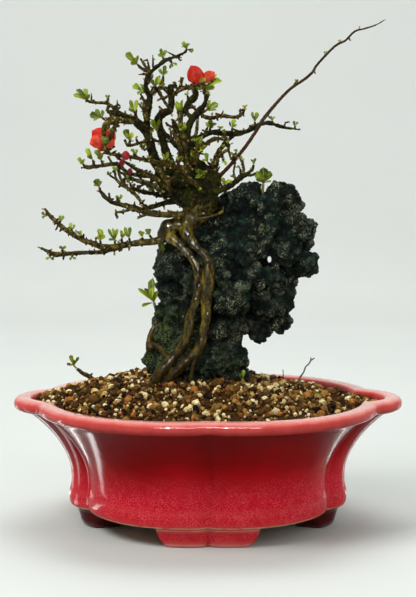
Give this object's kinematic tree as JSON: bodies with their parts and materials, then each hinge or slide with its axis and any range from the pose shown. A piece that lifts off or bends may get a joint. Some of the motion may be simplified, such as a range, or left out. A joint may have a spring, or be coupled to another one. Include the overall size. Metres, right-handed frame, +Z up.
{
  "type": "potted bonsai tree",
  "caption": "Japanese quince bonsai in flower, its roots clasping an upright lava rock, in a glazed lobed oval pot filled with clay granules.",
  "frame": {"origin": "centre of the bounding box at its bottom, on the table under the middle of the pot", "axes": "+Z up, X along the pot, -Y towards the front of the tree"},
  "size_m": [0.26, 0.208, 0.3353],
  "materials": {
    "glaze": "gloss, mottled crimson glaze",
    "soil": "matte fired clay granules",
    "mesh": "matte",
    "rock": "rough, pitted, damp",
    "bark": "damp bark, smooth and glossy on the old roots",
    "dead_wood": "dry and grey",
    "leaf": "satin, fresh green with reddish stalks",
    "petal": "soft satin, vermilion",
    "bud": "satin, crimson",
    "calyx": "satin, olive green"
  },
  "bodies": {
    "root": {"pot": "glaze", "drain_mesh_left": "mesh", "drain_mesh_right": "mesh", "tree_wood": "bark", "sucker_stem": "bark", "dead_twig": "dead_wood", "flower_left_petals": "petal", "flower_left_calyx": "calyx", "flower_right_petals": "petal", "flower_right_calyx": "calyx", "flower_bud_1": "bud", "flower_bud_2": "bud", "flower_bud_3": "bud", "leaves_lowest_bough_1": "leaf", "leaves_lowest_bough_2": "leaf", "leaves_lowest_bough_3": "leaf", "leaves_lowest_bough_4": "leaf", "leaves_lowest_bough_5": "leaf", "leaves_lowest_bough_6": "leaf", "leaves_high_arm_tip": "leaf", "leaves_high_arm_2": "leaf", "leaves_high_arm_3": "leaf", "leaves_low_arm_1": "leaf", "leaves_low_arm_3": "leaf", "leaves_lower_bough_tip": "leaf", "leaves_middle_bough_1": "leaf", "leaves_middle_bough_2": "leaf", "leaves_left_twig_tip": "leaf", "leaves_left_twig_2": "leaf", "leaves_left_twig_3": "leaf", "leaves_first_stem_tip": "leaf", "leaves_hook_bough": "leaf", "leaves_stem_fork": "leaf", "leaves_first_stem_1": "leaf", "leaves_first_stem_2": "leaf", "leaves_leader_1": "leaf", "leaves_leader_2": "leaf", "leaves_leader_3": "leaf", "leaves_crown_left": "leaf", "leaves_crown_middle": "leaf", "leaves_crown_right": "leaf", "leaves_crown_tip": "leaf", "leaves_second_stem_1": "leaf", "leaves_second_stem_2": "leaf", "leaves_right_flower": "leaf", "leaves_third_stem_1": "leaf", "leaves_third_stem_2": "leaf", "leaves_third_stem_3": "leaf", "leaves_right_bough_1": "leaf", "leaves_right_bough_2": "leaf", "leaves_right_bough_3": "leaf", "leaves_trunk_face": "leaf", "leaves_rock_top_bough": "leaf", "rock_top_sprout": "leaf", "rock_left_sprout": "leaf", "rock_side_leaf": "leaf", "left_sucker_leaves": "leaf", "front_sprout": "leaf", "rock": "rock", "soil": "soil"}
  },
  "joints": []
}
